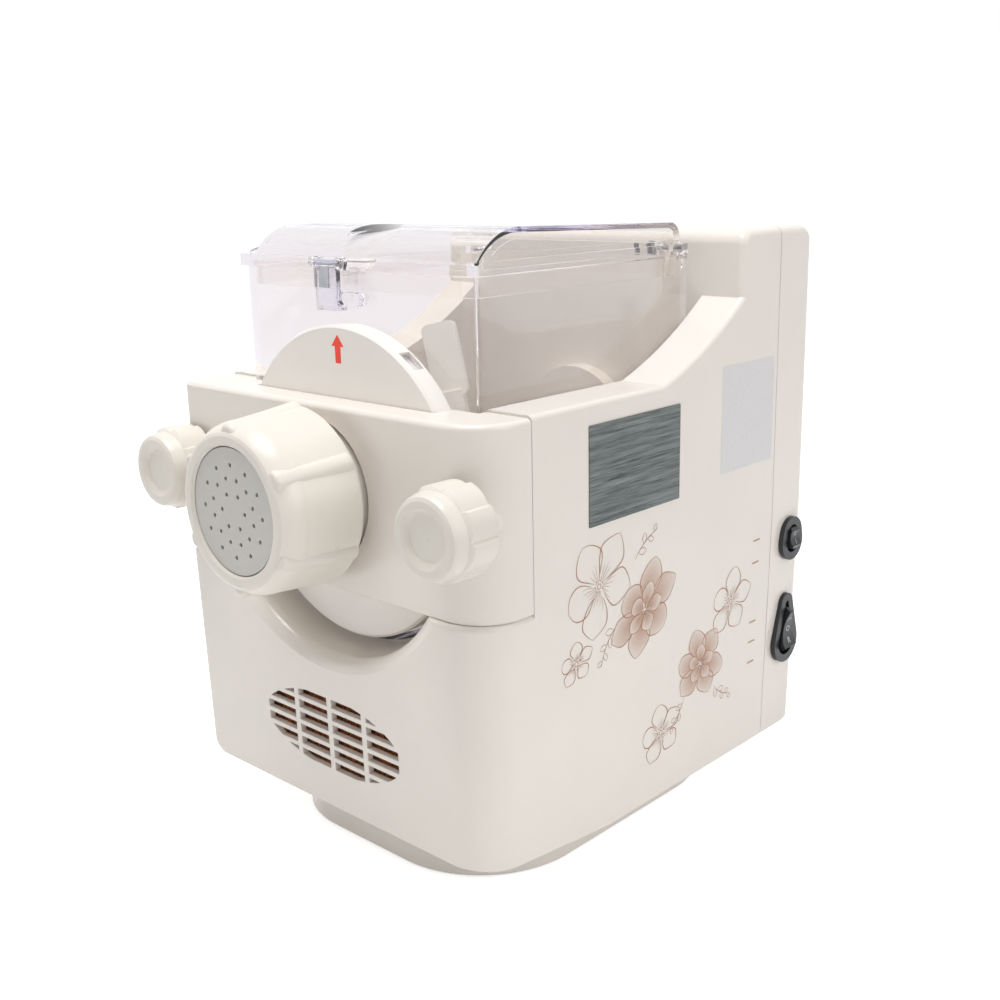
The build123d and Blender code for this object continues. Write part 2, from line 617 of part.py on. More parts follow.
def make_die_nut():
    """Flared ring nut with six soft grip ribs, which holds the die on the barrel."""
    rim_r, hip_r, back_r = 33.6, 37.6, 39.8
    hip_y = NUT_FRONT + 12.0
    side = (ThreePointArc((rim_r, NUT_FRONT + 0.6), (rim_r + 2.6, NUT_FRONT + 4.6), (hip_r, hip_y))
            + Line((hip_r, hip_y), (back_r, NUT_BACK - 3.0))
            + ThreePointArc((back_r, NUT_BACK - 3.0), (back_r - 0.5, NUT_BACK - 0.9),
                            (back_r - 2.2, NUT_BACK)))
    face = make_face(side + Polyline((back_r - 2.2, NUT_BACK), (NUT_MOUTH_R, NUT_BACK),
                                     (NUT_MOUTH_R, NUT_FRONT + 1.4), (NUT_MOUTH_R + 1.0, NUT_FRONT),
                                     (rim_r - 1.4, NUT_FRONT), (rim_r, NUT_FRONT + 0.6)))
    nut = revolve(Plane((0, 0, AXIS_Z)) * face, Axis((0, 0, AXIS_Z), (0, 1, 0)))
    nut += nut_ribs(rim_r, back_r)
    nut -= rod(BARREL_R + 0.4, -167.1, NUT_BACK + 1)
    return nut - rod(NUT_MOUTH_R, NUT_FRONT - 1, -160)


def nut_ribs(rim_r, back_r):
    """Rods laid along the nut's flared side, sunk in so that a soft ridge stands out."""
    first_deg, sink = 29.5, NUT_RIB_R - 2.0
    front, back = NUT_FRONT + 1.2, NUT_BACK - 1.0
    rise = back_r - rim_r - 1.6
    lean = math.degrees(math.atan2(rise, back - front))
    length = math.hypot(rise, back - front)
    rib = Pos(rim_r + 1.6 - sink, front, AXIS_Z) * Rot(0, 0, -lean) * Rot(-90, 0, 0) * Cylinder(
        NUT_RIB_R, length, align=(Align.CENTER, Align.CENTER, Align.MIN))
    rib = fillet(rib.edges().filter_by(GeomType.CIRCLE), 1.8)
    ribs = Part()
    for index in range(NUT_RIBS):
        ribs += about_axis(rib, 360.0 / NUT_RIBS * index + first_deg)
    return ribs


# ---------------------------------------------------------------- agitator and auger
def make_agitator():
    """Hub with four pitched paddles that sweep the bowl, each a blade on a narrower neck."""
    hub = rod(HUB_R, -92.0, BOWL_BACK + 2.0)
    pitch, blade_width, blade_foot = 32.0, 17.0, 29.0
    blade_length = PADDLE_R - 1.0 - blade_foot
    outline = Pos(0, blade_foot + blade_length / 2) * RectangleRounded(blade_width, blade_length, 3.5)
    paddle = Rot(90, 0, 0) * extrude(outline, 2.5, both=True)
    paddle += Pos(0, 0, blade_foot / 2 + 3.0) * Box(11.5, 7.0, blade_foot)
    for y, angle in ((-64.0, 165.0), (-30.0, -15.0), (1.0, 255.0), (31.0, 75.0)):
        hub += about_axis(Pos(0, y, AXIS_Z) * Rot(0, 0, pitch) * paddle, angle)
    hub -= along_y(Pos(0, AXIS_Z) * RegularPolygon(6.35, 6, major_radius=False), 34.0, 60.0)
    return hub - rod(6.0, -96, -78)


def make_auger():
    """Screw that pushes the dough along the barrel: a helical flight round a plain core."""
    start_y, lead, steps_per_turn = -97.5, 25.0, 18
    core_r, root_half, tip_half = 9.0, 4.2, 2.0
    steps = round(AUGER_TURNS * steps_per_turn)
    sections = []
    for step in range(steps + 1):
        angle = 2 * math.pi * step / steps_per_turn
        y = start_y - lead * step / steps_per_turn
        sections.append([Vector(r * math.cos(angle), y + dy, AXIS_Z + r * math.sin(angle))
                         for r, dy in ((core_r - 1, root_half), (AUGER_R, tip_half),
                                       (AUGER_R, -tip_half), (core_r - 1, -root_half))])
    faces = [Face(Wire.make_polygon(sections[0])), Face(Wire.make_polygon(sections[-1]))]
    for before, after in zip(sections, sections[1:]):
        for k in range(4):
            a, b, c, d = before[k], before[(k + 1) % 4], after[(k + 1) % 4], after[k]
            faces += [Face(Wire.make_polygon([a, b, c])), Face(Wire.make_polygon([a, c, d]))]
    flight = Solid(Shell(faces))
    core = rod(core_r, start_y - lead * AUGER_TURNS + 1.0, start_y + 4.0)
    return core + flight + rod(5.8, start_y, -79.0)


# ---------------------------------------------------------------- drive
def gear_face(module, teeth, first_angle):
    """Spur gear outline with straight-flanked teeth, centred on the origin."""
    pitch_r = module * teeth / 2
    tip_r, root_r = pitch_r + 0.85 * module, pitch_r - 1.2 * module
    half = math.pi / (2 * teeth) * 0.86
    tip_half = half - math.tan(math.radians(22)) * 0.85 * module / pitch_r
    root_half = half + math.tan(math.radians(16)) * 1.2 * module / pitch_r
    points = []
    for tooth in range(teeth):
        middle = math.radians(first_angle) + 2 * math.pi * tooth / teeth
        for radius, offset_angle in ((root_r, -root_half), (tip_r, -tip_half),
                                     (tip_r, tip_half), (root_r, root_half)):
            angle = middle + offset_angle
            points.append((radius * math.cos(angle), radius * math.sin(angle)))
    return face_of(points)


def gear(module, teeth, first_angle, span, z, bore):
    face = gear_face(module, teeth, first_angle) - Circle(bore)
    return along_y(Pos(0, z) * face, span[0], span[1])


def lightening_holes(count, ring_r, hole_r, z, span):
    holes = Part()
    for hole in range(count):
        angle = 2 * math.pi * hole / count
        holes += rod(hole_r, span[0] - 1, span[1] + 1, ring_r * math.cos(angle),
                     z + ring_r * math.sin(angle))
    return holes


def make_output_gear():
    half_pitch = 180.0 / OUTPUT_TEETH
    wheel = gear(COARSE_MODULE, OUTPUT_TEETH, 90 + half_pitch, COARSE_Y, AXIS_Z, 8.0)
    web = ring(52.0, 16.0, COARSE_Y[0] - 1, COARSE_Y[0] + 3)
    web += ring(52.0, 16.0, COARSE_Y[1] - 3, COARSE_Y[1] + 1)
    return wheel - web - lightening_holes(6, 34.0, 9.0, AXIS_Z, COARSE_Y)


def make_output_shaft():
    """Steel shaft ending in the hexagonal drive dog."""
    shaft = rod(8.0, 56.0, 94.0)
    dog = along_y(Pos(0, AXIS_Z) * RegularPolygon(6.0, 6, major_radius=False), 37.0, 57.0)
    return shaft + dog


def make_idler_gear():
    half_pitch = 180.0 / IDLER_TEETH
    wheel = gear(FINE_MODULE, IDLER_TEETH, 90 + half_pitch, FINE_Y, IDLER_Z, 4.0)
    wheel -= ring(30.0, 13.0, FINE_Y[1] - 2, FINE_Y[1] + 1, 0, IDLER_Z)
    small = gear(COARSE_MODULE, IDLER_PINION_TEETH, 90.0, (COARSE_Y[0] - 0.4, FINE_Y[0]),
                 IDLER_Z, 4.0)
    return wheel + small


def make_idler_shaft():
    return rod(4.0, 63.0, 95.0, 0, IDLER_Z)


def make_motor_shaft():
    return rod(4.0, -82.0, 90.4, 0, MOTOR_Z)


def make_motor_pinion():
    return gear(FINE_MODULE, PINION_TEETH, 90.0, (FINE_Y[0] - 0.6, FINE_Y[1] + 0.6), MOTOR_Z, 4.0)


def make_motor_rotor():
    core = ring(15.6, 4.0, -42.0, 22.0, 0, MOTOR_Z)
    for end in ((-47.0, -42.0), (22.0, 27.0)):
        core += ring(13.5, 4.0, end[0], end[1], 0, MOTOR_Z)
    return core


def make_cooling_fan():
    """Radial fan on the motor's front end, behind the vent."""
    fan = ring(8.0, 4.0, -79.0, -66.5, 0, MOTOR_Z) + ring(25.5, 7.0, -68.5, -66.5, 0, MOTOR_Z)
    vane = block(7.0, 25.0, -79.0, -68.0, MOTOR_Z - 0.9, MOTOR_Z + 0.9)
    for blade in range(8):
        fan += about_axis(vane, 45.0 * blade, 0, MOTOR_Z)
    return fan


def make_motor_stator():
    """Laminated stack with four flats, and slots round the bore."""
    stack = rod(MOTOR_R, -42.0, 22.0, 0, MOTOR_Z)
    stack &= block(-27.5, 27.5, -60, 60, MOTOR_Z - 27.5, MOTOR_Z + 27.5)
    return stack - rod(16.2, -60, 60, 0, MOTOR_Z)


def make_motor_windings():
    front = ring(25.0, 17.0, -53.0, -42.2, 0, MOTOR_Z)
    back = ring(25.0, 17.0, 22.2, 33.0, 0, MOTOR_Z)
    return front + back


def make_end_bell(y_face, y_end):
    """Cup over one end of the motor, with air windows and a bearing seat."""
    outward = math.copysign(1.0, y_end - y_face)
    low, high = sorted((y_face, y_end))
    cup = rod(27.4, low, high, 0, MOTOR_Z)
    inner_low, inner_high = sorted((y_face - outward, y_end - outward * 2.4))
    cup -= rod(25.6, inner_low, inner_high, 0, MOTOR_Z)
    seat_low, seat_high = sorted((y_end, y_end - outward * 7.0))
    cup += rod(11.0, seat_low, seat_high, 0, MOTOR_Z)
    cup -= rod(8.0, low - 1, high + 1, 0, MOTOR_Z)
    window = block(15.0, 22.0, low - 1, high + 1, MOTOR_Z - 4, MOTOR_Z + 4)
    for turn in range(6):
        cup -= about_axis(window, 60.0 * turn + 30, 0, MOTOR_Z)
    return cup


def make_motor_bearings():
    bearings = Part()
    for low in (-61.0, 33.8):
        bearings += ring(8.0, 4.0 + RUNNING_GAP, low, low + 6.4, 0, MOTOR_Z)
    return bearings


def make_motor_cradle(envelope_room):
    """Two sheet-metal saddles that carry the motor on the housing floor."""
    saddles = Part()
    for y in (-30.0, 10.0):
        plate = block(-27.0, 27.0, y - 1.5, y + 1.5, 20.0, MOTOR_Z - 8)
        plate += block(-34.0, 34.0, y - 8, y + 8, 20.0, 30.0)
        plate -= block(-20.0, 20.0, y - 9, y + 9, 24.5, 40.0)
        plate -= block(-36.0, 36.0, y + 1.5, y + 9, 27.5, 40.0)
        plate -= block(-36.0, 36.0, y - 9, y - 1.5, 27.5, 40.0)
        saddles += plate
    saddles -= block(-27.6, 27.6, -60, 60, MOTOR_Z - 27.6, MOTOR_Z + 28)
    return saddles & envelope_room


def gearbox_outline(grow):
    edges = (Pos(0, AXIS_Z) * Circle(GEARBOX_R + grow)).edges()
    edges += (Pos(0, MOTOR_Z) * Circle(34.0 + grow)).edges()
    return make_hull(edges)


def gearbox_screw_points():
    points = [(x, z) for x in (-60.0, 60.0) for z in (AXIS_Z - 30, AXIS_Z + 30)]
    return points + [(-30.0, MOTOR_Z - 10), (30.0, MOTOR_Z - 10)]


def make_gearbox_plate():
    plate = along_y(gearbox_outline(0), 64.0, 67.0)
    plate += ring(15.0, 11.0, 64.0, 69.5) + ring(9.0, 6.0, 64.0, 69.2, 0, IDLER_Z)
    plate -= rod(11.0, 60, 75) + rod(6.0, 60, 75, 0, IDLER_Z) + rod(9.0, 60, 75, 0, MOTOR_Z)
    for x, z in gearbox_screw_points():
        plate -= rod(1.7, 60, 75, x, z)
    return plate


def make_gearbox_cover():
    cover = along_y(gearbox_outline(0), 67.0, 93.5)
    cover -= along_y(gearbox_outline(-2.5), 66.0, 91.0)
    cover += ring(14.0, 11.0, 88.8, 95.0) + ring(9.0, 6.0, 90.0, 95.0, 0, IDLER_Z)
    cover -= rod(11.0, 85, 99) + rod(6.0, 89.0, 99, 0, IDLER_Z)
    for x, z in gearbox_screw_points():
        cover += rod(3.5, 67.0, 92.0, x, z) & along_y(gearbox_outline(0), 60, 99)
        cover -= rod(1.7, 60, 99, x, z)
    return cover


def make_gearbox_screws():
    screws = Part()
    for x, z in gearbox_screw_points():
        screws += rod(1.5, 62.6, 93.6, x, z) + rod(3.0, 93.6, 95.8, x, z)
    return screws


def make_shaft_bushes():
    """Plain bearings for the output and idler shafts."""
    bushes = ring(11.0, 8.0 + RUNNING_GAP, 64.0, 69.5) + ring(11.0, 8.0 + RUNNING_GAP, 88.8, 93.5)
    bushes += ring(6.0, 4.0 + RUNNING_GAP, 64.0, 69.2, 0, IDLER_Z)
    return bushes + ring(6.0, 4.0 + RUNNING_GAP, 90.0, 94.5, 0, IDLER_Z)


def make_shaft_seal():
    """Lip seal in the tower's hub, round the drive shaft."""
    seal = ring(17.0, 14.5, 56.5, 62.0) + ring(16.0, 8.0 + RUNNING_GAP, 59.5, 62.0)
    return seal


# ---------------------------------------------------------------- electrics
def small_switch_outline(inset):
    """(y, z) oval, slightly wider at the foot."""
    y, z = SMALL_SWITCH
    rings = (Pos(y, z + 2.6) * Circle(9.2 - inset)).edges()
    rings += (Pos(y, z - 1.6) * Circle(10.0 - inset)).edges()
    return make_hull(rings)


def large_switch_outline(inset):
    """(y, z) shield, narrow at the top and broad at the foot."""
    y, z = LARGE_SWITCH
    rings = (Pos(y, z + 14.2) * Circle(5.6 - inset)).edges()
    rings += (Pos(y, z - 7.6) * Circle(11.4 - inset)).edges()
    return make_hull(rings)


def make_switch_body(outline, y, z, half_height, wall_x):
    """Bezel flange outside the cover, and the switch's case behind it."""
    flange = along_x(outline(0.0), wall_x, wall_x + 2.6)
    collar = along_x(outline(1.8), wall_x - 6.0, wall_x)
    case = block(wall_x - 24.0, wall_x - 6.0, y - 8.5, y + 8.5, z - half_height, z + half_height)
    opening = along_x(outline(4.2), wall_x - 6.0, wall_x + 4)
    pocket = block(wall_x - 12.0, wall_x - 5.0, y - 6.8, y + 6.8,
                   z - half_height + 1.5, z + half_height - 1.5)
    return flange + collar + case - opening - pocket


def make_rocker(outline, y, z, pivot_x, reach, waist, dip_r, tilt):
    """Rocking cap: its crown dips in the middle, its ends follow arcs about the pivot."""
    cap = along_x(outline(ROCKER_INSET), pivot_x - 1.0, pivot_x + 16.0)
    dip = Pos(pivot_x + waist + dip_r, y, z) * Rot(90, 0, 0) * Cylinder(dip_r, 60)
    cap &= rod(reach, y - 20, y + 20, pivot_x, z)
    cap -= dip
    cap += rod(2.6, y - 3.8, y + 3.8, pivot_x, z)
    return cap.rotate(Axis((pivot_x, y, z), (0, 1, 0)), tilt)


def make_power_inlet():
    """Three-pin appliance inlet: flange outside the cover, shell inside it."""
    flange = along_y(Pos(INLET_X, INLET_Z) * RectangleRounded(31, 24, 3), BODY_BACK, BODY_BACK + 2)
    shell = block(INLET_X - 13.4, INLET_X + 13.4, 104.0, BODY_BACK, INLET_Z - 9.7, INLET_Z + 9.7)
    cavity = block(INLET_X - 12.0, INLET_X + 12.0, 108.0, 130.0, INLET_Z - 8.0, INLET_Z + 8.0)
    return flange + shell - cavity


def make_inlet_pins():
    pins = Part()
    for x, z in ((-7.0, -2.0), (0.0, 2.0), (7.0, -2.0)):
        pins += block(INLET_X + x - 1.0, INLET_X + x + 1.0, 108.0, 120.0,
                      INLET_Z + z - 2.0, INLET_Z + z + 2.0)
    return pins


def make_control_board():
    board = block(-92.0, -90.4, 98.0, 118.0, 110.0, 200.0)
    for z, size in ((126.0, 12.0), (152.0, 16.0), (178.0, 10.0)):
        board += block(-90.4, -90.4 + size, 101.0, 115.0, z - 6, z + 6)
    return board


def make_run_capacitor():
    can = rod_z(15.0, 60.0, 116.0, 64.0, 20.0)
    return can + block(60.0, 68.0, 17.0, 23.0, 116.0, 121.0)


def make_interlock_switch():
    body = block(39.0, 60.0, 70.5, 80.5, 262.0, 276.0)
    body += block(41.0, 58.0, 68.3, 70.5, 269.0, 274.0)
    bracket = block(36.0, 63.0, 70.5, 90.0, 258.5, 262.0)
    return body + bracket


def make_interlock_plunger():
    """Two prongs behind the tower's slots, joined by a bar."""
    plunger = block(43.0, 56.0, 63.0, 65.0, 275.4, 281.2)
    for x in (45.7, 53.2):
        plunger += block(x - 1.7, x + 1.7, 59.9, 63.5, 275.4, 281.2)
    return plunger


# ---------------------------------------------------------------- build and export
def build():
    envelope = softened(body_envelope(0))
    hollow = body_envelope(WALL)
    parts = {}
    housing = make_main_housing(envelope, hollow)
    housing += make_screw_pillars() & envelope
    parts["main_housing"] = housing
    parts["rear_cover"] = make_rear_cover(envelope, hollow)
    parts["rear_cover_screws"] = make_cover_screws()
    parts["base_plinth"] = make_base_plinth(envelope)
    parts["rubber_feet"] = make_rubber_feet()
    parts["vent_filter"] = make_vent_filter()
    parts["yoke_studs"] = make_yoke_studs()

    parts["front_yoke"] = make_front_yoke()
    for side, x in (("left", -KNOB_X), ("right", KNOB_X)):
        parts[f"clamp_washer_{side}"] = make_clamp_washer(x)
        parts[f"clamp_knob_{side}"] = make_clamp_knob(x)
        parts[f"knob_insert_{side}"] = make_knob_insert(x)

    parts["mixing_bowl"] = make_mixing_bowl()
    parts["bowl_bushing"] = make_bowl_bushing()
    parts["lid_hinge_pins"] = make_hinge_pins()
    parts["bowl_lid"] = make_bowl_lid()
    parts["latch_pin"] = make_latch_pin()
    parts["lid_latch"] = make_lid_latch()
    parts["latch_springs"] = make_latch_springs()

    parts["end_disc"] = make_end_disc()
    parts["disc_catch"] = make_disc_catch()
    parts["disc_gasket"] = make_disc_gasket()
    parts["die_plate"] = make_die_plate()
    parts["die_nut"] = make_die_nut()
    parts["agitator"] = make_agitator()
    parts["auger"] = make_auger()

    parts["output_gear"] = make_output_gear()
    parts["output_shaft"] = make_output_shaft()
    parts["idler_gear"] = make_idler_gear()
    parts["idler_shaft"] = make_idler_shaft()
    parts["motor_shaft"] = make_motor_shaft()
    parts["motor_pinion"] = make_motor_pinion()
    parts["motor_rotor"] = make_motor_rotor()
    parts["cooling_fan"] = make_cooling_fan()
    parts["motor_stator"] = make_motor_stator()
    parts["motor_windings"] = make_motor_windings()
    parts["motor_front_bell"] = make_end_bell(-42.0, -61.0)
    parts["motor_rear_bell"] = make_end_bell(22.0, 40.2)
    parts["motor_bearings"] = make_motor_bearings()
    parts["motor_cradle"] = make_motor_cradle(hollow)
    parts["gearbox_plate"] = make_gearbox_plate()
    parts["gearbox_cover"] = make_gearbox_cover()
    parts["gearbox_screws"] = make_gearbox_screws()
    parts["shaft_bushes"] = make_shaft_bushes()
    parts["shaft_seal"] = make_shaft_seal()

    parts["power_switch_body"] = make_switch_body(small_switch_outline, *SMALL_SWITCH, 10.4,
                                                   SMALL_SWITCH_X)
    parts["mode_switch_body"] = make_switch_body(large_switch_outline, *LARGE_SWITCH, 16.5,
                                                  LARGE_SWITCH_X)
    parts["power_rocker"] = make_rocker(small_switch_outline, *SMALL_SWITCH, 99.2, 6.9,
                                        4.6, 8.0, -ROCKER_TILT)
    parts["mode_rocker"] = make_rocker(large_switch_outline, *LARGE_SWITCH, 95.0, 13.4,
                                       7.0, 20.5, 0.0)
    parts["power_inlet"] = make_power_inlet()
    parts["inlet_pins"] = make_inlet_pins()
    parts["control_board"] = make_control_board()
    parts["run_capacitor"] = make_run_capacitor()
    parts["interlock_switch"] = make_interlock_switch()
    parts["interlock_plunger"] = make_interlock_plunger()
    return parts


os.makedirs("parts", exist_ok=True)
for name, shape in build().items():
    export_step(shape, f"parts/{name}.step")
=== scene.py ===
import json
import math

import bmesh
import bpy
from mathutils import Matrix, Vector
from mathutils.bvhtree import BVHTree


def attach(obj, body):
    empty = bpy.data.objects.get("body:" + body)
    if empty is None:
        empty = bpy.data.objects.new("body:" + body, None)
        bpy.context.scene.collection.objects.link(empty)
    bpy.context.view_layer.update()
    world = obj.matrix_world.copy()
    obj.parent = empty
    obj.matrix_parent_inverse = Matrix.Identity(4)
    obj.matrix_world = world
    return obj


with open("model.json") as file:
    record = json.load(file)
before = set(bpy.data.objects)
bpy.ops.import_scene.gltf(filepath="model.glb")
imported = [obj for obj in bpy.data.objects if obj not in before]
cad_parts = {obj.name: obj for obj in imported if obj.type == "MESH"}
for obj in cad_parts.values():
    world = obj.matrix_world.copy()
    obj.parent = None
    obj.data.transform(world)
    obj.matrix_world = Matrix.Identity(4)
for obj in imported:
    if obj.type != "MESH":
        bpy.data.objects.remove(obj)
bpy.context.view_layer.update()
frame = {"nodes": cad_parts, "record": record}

# Electric pasta maker.  Places and sizes on it are in millimetres, and MM turns them into Blender's
# metres.  The shaders, the lamps and names that end in _M are in metres.
MM = 0.001

# Side wall with the switches: flat above, and leaning in below DRAFT_TOP_Z
SIDE_X = 100.0
DRAFT_TOP_Z = 139.0
DRAFT = math.tan(math.radians(1.3))

# Flat prints: how far one stands off its surface, and where the rays that lay it start
PRINT_LIFT = 0.05
RAY_START_M = 0.2

# Rockers: y and z of the middle, then each legend's name, letters, height and rise over the middle
LEGENDS = {
    "power_rocker": ((110.0, 125.5), [("power_mark_off", "O", 2.2, 2.9),
                                      ("power_mark_on", "I", 2.4, -1.3)]),
    "mode_rocker": ((109.0, 75.0), [("mode_mark_on", "ON", 1.8, 5.6),
                                    ("mode_mark_off", "O", 3.2, 0.0),
                                    ("mode_mark_reverse", "R", 3.4, -6.4)]),
}
FONT_SIZE = 1.38          # font size over the height of a capital

# Flat plates on the side wall
PLATE_ARC_STEPS = 4       # steps round a corner
PLATE_BEVEL = 0.3         # width of the edge's bevel, as a share of the thickness

# Arrow on the front face of the end disc
DISC_FACE_Y = -108.5
ARROW_TIP_Z, ARROW_NECK_Z, ARROW_FOOT_Z = 249.4, 244.2, 236.8
ARROW_HEAD_HALF, ARROW_STEM_HALF = 4.1, 1.9

# Ticks beside the switch positions
TICK_Y_SPAN = (75.0, 81.0)
TICK_HEIGHTS = (131.5, 119.5, 87.0, 76.0, 64.5)
TICK_HALF = 0.5
TICK_TONE = 0.8

# Printed lines: width at the ends as a share of the middle, and how high each kind of print lies
RIBBON_TIP = 0.35
WASH_LIFT, SPRIG_LIFT, LINE_LIFT, DOT_LIFT = 0.012, 0.03, 0.04, 0.05

# Petals: steps along one, then its form
PETAL_STEPS = 18
PETAL_START = 1.4         # how far a petal starts from the flower's centre
PETAL_SHOULDER = 1.35     # above 1, the widest place lies nearer the tip
PETAL_FULLNESS = 0.75     # below 1, the petal is rounder
PETAL_RUFFLE = 0.07       # waves of the edge, as a share of the half-width
PETAL_STRETCH = 0.04      # waves along the petal, as a share of its length
PETAL_SWING = 0.12        # how far a petal may turn from its even place, in radians
PETAL_REACH = 0.1         # how much longer or shorter a petal may be, as a share of its length

# Petals' wash: rows as shares of the half-width with the ink that each takes, and how ink fades
ROWS = (1.0, 0.5, 0.0, -0.5, -1.0)
ROW_TONES = (0.6, 0.95, 1.0, 0.85, 0.5)
WASH_FADE, WASH_CURVE = 0.95, 0.6
RIM_TONE = 0.35           # most ink that the tip of the first row gets besides

# Petals' lines: the steps that outline and veins cover, and the veins as shares of the half-width
OUTLINE_FIRST = 3
VEIN_STEPS = slice(1, 12)
VEINS = (-0.55, -0.25, 0.0, 0.25, 0.55)
VEIN_LENGTH, VEIN_CHANGE = 0.62, 0.12
OUTLINE_TONE, VEIN_TONE = 0.9, 0.65

# Dots at a flower's heart, on two rings in turn
DOTS, DOT_RADIUS, DOT_TONE = 14, 0.4, 1.0
DOT_RING, DOT_RING_STEP = 1.2, 1.5

# Sprigs: line width and tones, then the leaves as shares of the stem's length and of their own
STEM_STEPS, LEAF_STEPS = 16, 8
SPRIG_LINE = 0.45
STEM_TONE, LEAF_TONE = 0.8, 0.7
LEAF_LENGTH, LEAF_SHRINK, LEAF_HALF = 0.3, 0.4, 0.28
LEAF_ANGLE = 0.75         # radians from the stem
BARE_TIP = 0.5            # bare end of the stem, in spaces between leaves

# Camera, with its angles in degrees
CAMERA_MM = (427.9, -461.3, 317.0)
AZIMUTH, ELEVATION, ROLL = 43.28, 14.65, -1.23
LENS, SENSOR = 45.289, 36.0
NEAR_M, FAR_M = 0.02, 60.0

# Studio: floor, even light, and the white that is added to what the camera sees of both
FLOOR_HALF_M = 8.0
FLOOR_COLOUR = (0.93, 0.93, 0.93, 1)
WHITE = (1, 1, 1, 1)
SOFT_LIGHT = 0.46
FLOOR_GLOW, WORLD_GLOW = 0.62, 0.55
BEHIND_PLASTIC = (234, 231, 246)    # that white as clear parts show it

# Colours, as 0-255 screen values
IVORY = (238, 231, 223)
CREAM = (233, 227, 217)
PRINT_BROWN = (168, 104, 54)
CLEAR_DEPTH = (208, 203, 224)       # what light takes on inside clear plastic

# Noise stays mostly between these two values, and they are spread over a material's range
NOISE_LOW, NOISE_HIGH = 0.3, 0.7


# ---------------------------------------------------------------- node trees
def srgb(colour):
    """0-255 screen values to the linear ones that shaders take."""
    linear = [((c / 255 + 0.055) / 1.055) ** 2.4 if c > 10 else c / 255 / 12.92 for c in colour]
    return (*linear, 1.0)


def shade(colour, factor):
    """A colour made darker or lighter."""
    return tuple(min(255.0, c * factor) for c in colour)


class Nodes:
    """The empty node tree of a material or world, with short calls for adding and joining."""

    def __init__(self, owner):
        owner.use_nodes = True
        self.tree = owner.node_tree
        self.tree.nodes.clear()

    def add(self, kind, **values):
        node = self.tree.nodes.new(kind)
        for name, value in values.items():
            setattr(node, name, value)
        return node

    def join(self, source, output, target, socket):
        self.tree.links.new(source.outputs[output], target.inputs[socket])

    def larger(self, first, first_output, second, second_output):
        """The larger of two values: for two kinds of ray, whether it is either of them."""
        node = self.add("ShaderNodeMath", operation="MAXIMUM")
        self.join(first, first_output, node, 0)
        self.join(second, second_output, node, 1)
        return node


class Shader(Nodes):
    """A Principled material under construction."""

    def __init__(self, name):
        self.material = bpy.data.materials.new(name)
        super().__init__(self.material)
        self.out = self.add("ShaderNodeOutputMaterial")
        self.bsdf = self.add("ShaderNodeBsdfPrincipled")
        self.join(self.bsdf, "BSDF", self.out, "Surface")
        self.where = self.add("ShaderNodeTexCoord")
        self.tones = None

    def put(self, **values):
        """Constants on the shader's own sockets; _ stands for a space."""
        for name, value in values.items():
            self.bsdf.inputs[name.replace("_", " ")].default_value = value

    def noise(self, scale, detail, stretch=(1, 1, 1), roughness=0.55):
        mapping = self.add("ShaderNodeMapping")
        mapping.inputs["Scale"].default_value = stretch
        self.join(self.where, "Object", mapping, "Vector")
        noise = self.add("ShaderNodeTexNoise")
        noise.inputs["Scale"].default_value = scale
        noise.inputs["Detail"].default_value = detail
        noise.inputs["Roughness"].default_value = roughness
        self.join(mapping, "Vector", noise, "Vector")
        return noise

    def colours(self, source, output, first, second):
        """Base colour that goes from one colour to another with a texture's value."""
        self.tones = self.add("ShaderNodeValToRGB")
        low, high = self.tones.color_ramp.elements
        low.position, high.position = NOISE_LOW, NOISE_HIGH
        low.color, high.color = srgb(first), srgb(second)
        self.join(source, output, self.tones, "Fac")
        self.join(self.tones, "Color", self.bsdf, "Base Color")

    def mottle(self, source, output, colour, darkest, lightest):
        """Base colour that varies round one colour, between two factors of it."""
        self.colours(source, output, shade(colour, darkest), shade(colour, lightest))

    def gloss(self, source, roughness, smoothest, roughest):
        """Roughness that varies with a noise, between two factors of it."""
        remap = self.add("ShaderNodeMapRange")
        remap.inputs["From Min"].default_value = NOISE_LOW
        remap.inputs["From Max"].default_value = NOISE_HIGH
        remap.inputs["To Min"].default_value = roughness * smoothest
        remap.inputs["To Max"].default_value = roughness * roughest
        self.join(source, "Fac", remap, "Value")
        self.join(remap, "Result", self.bsdf, "Roughness")

    def bump(self, source, output, strength, distance, soften=None):
        """Relief from a texture; soften rounds the look of the edges by that radius."""
        bump = self.add("ShaderNodeBump")
        bump.inputs["Strength"].default_value = strength
        bump.inputs["Distance"].default_value = distance
        self.join(source, output, bump, "Height")
        if soften:
            edge = self.add("ShaderNodeBevel", samples=4)
            edge.inputs["Radius"].default_value = soften
            self.join(edge, "Normal", bump, "Normal")
        self.join(bump, "Normal", self.bsdf, "Normal")


# ---------------------------------------------------------------- materials
def moulded(name, colour, roughness, mottle=0.012, peel=0.05, soften=None):
    """Injection-moulded plastic: faint flow marks in the colour, a slow ripple in the gloss."""
    s = Shader(name)
    s.mottle(s.noise(scale=9.0, detail=3.0), "Fac", colour, 1 - mottle, 1 + mottle)
    s.gloss(s.noise(scale=60.0, detail=5.0), roughness, 0.85, 1.2)
    s.bump(s.noise(scale=140.0, detail=2.0), "Fac", peel, distance=0.0006, soften=soften)
    s.put(IOR=1.5, Specular_IOR_Level=0.5)
    return s


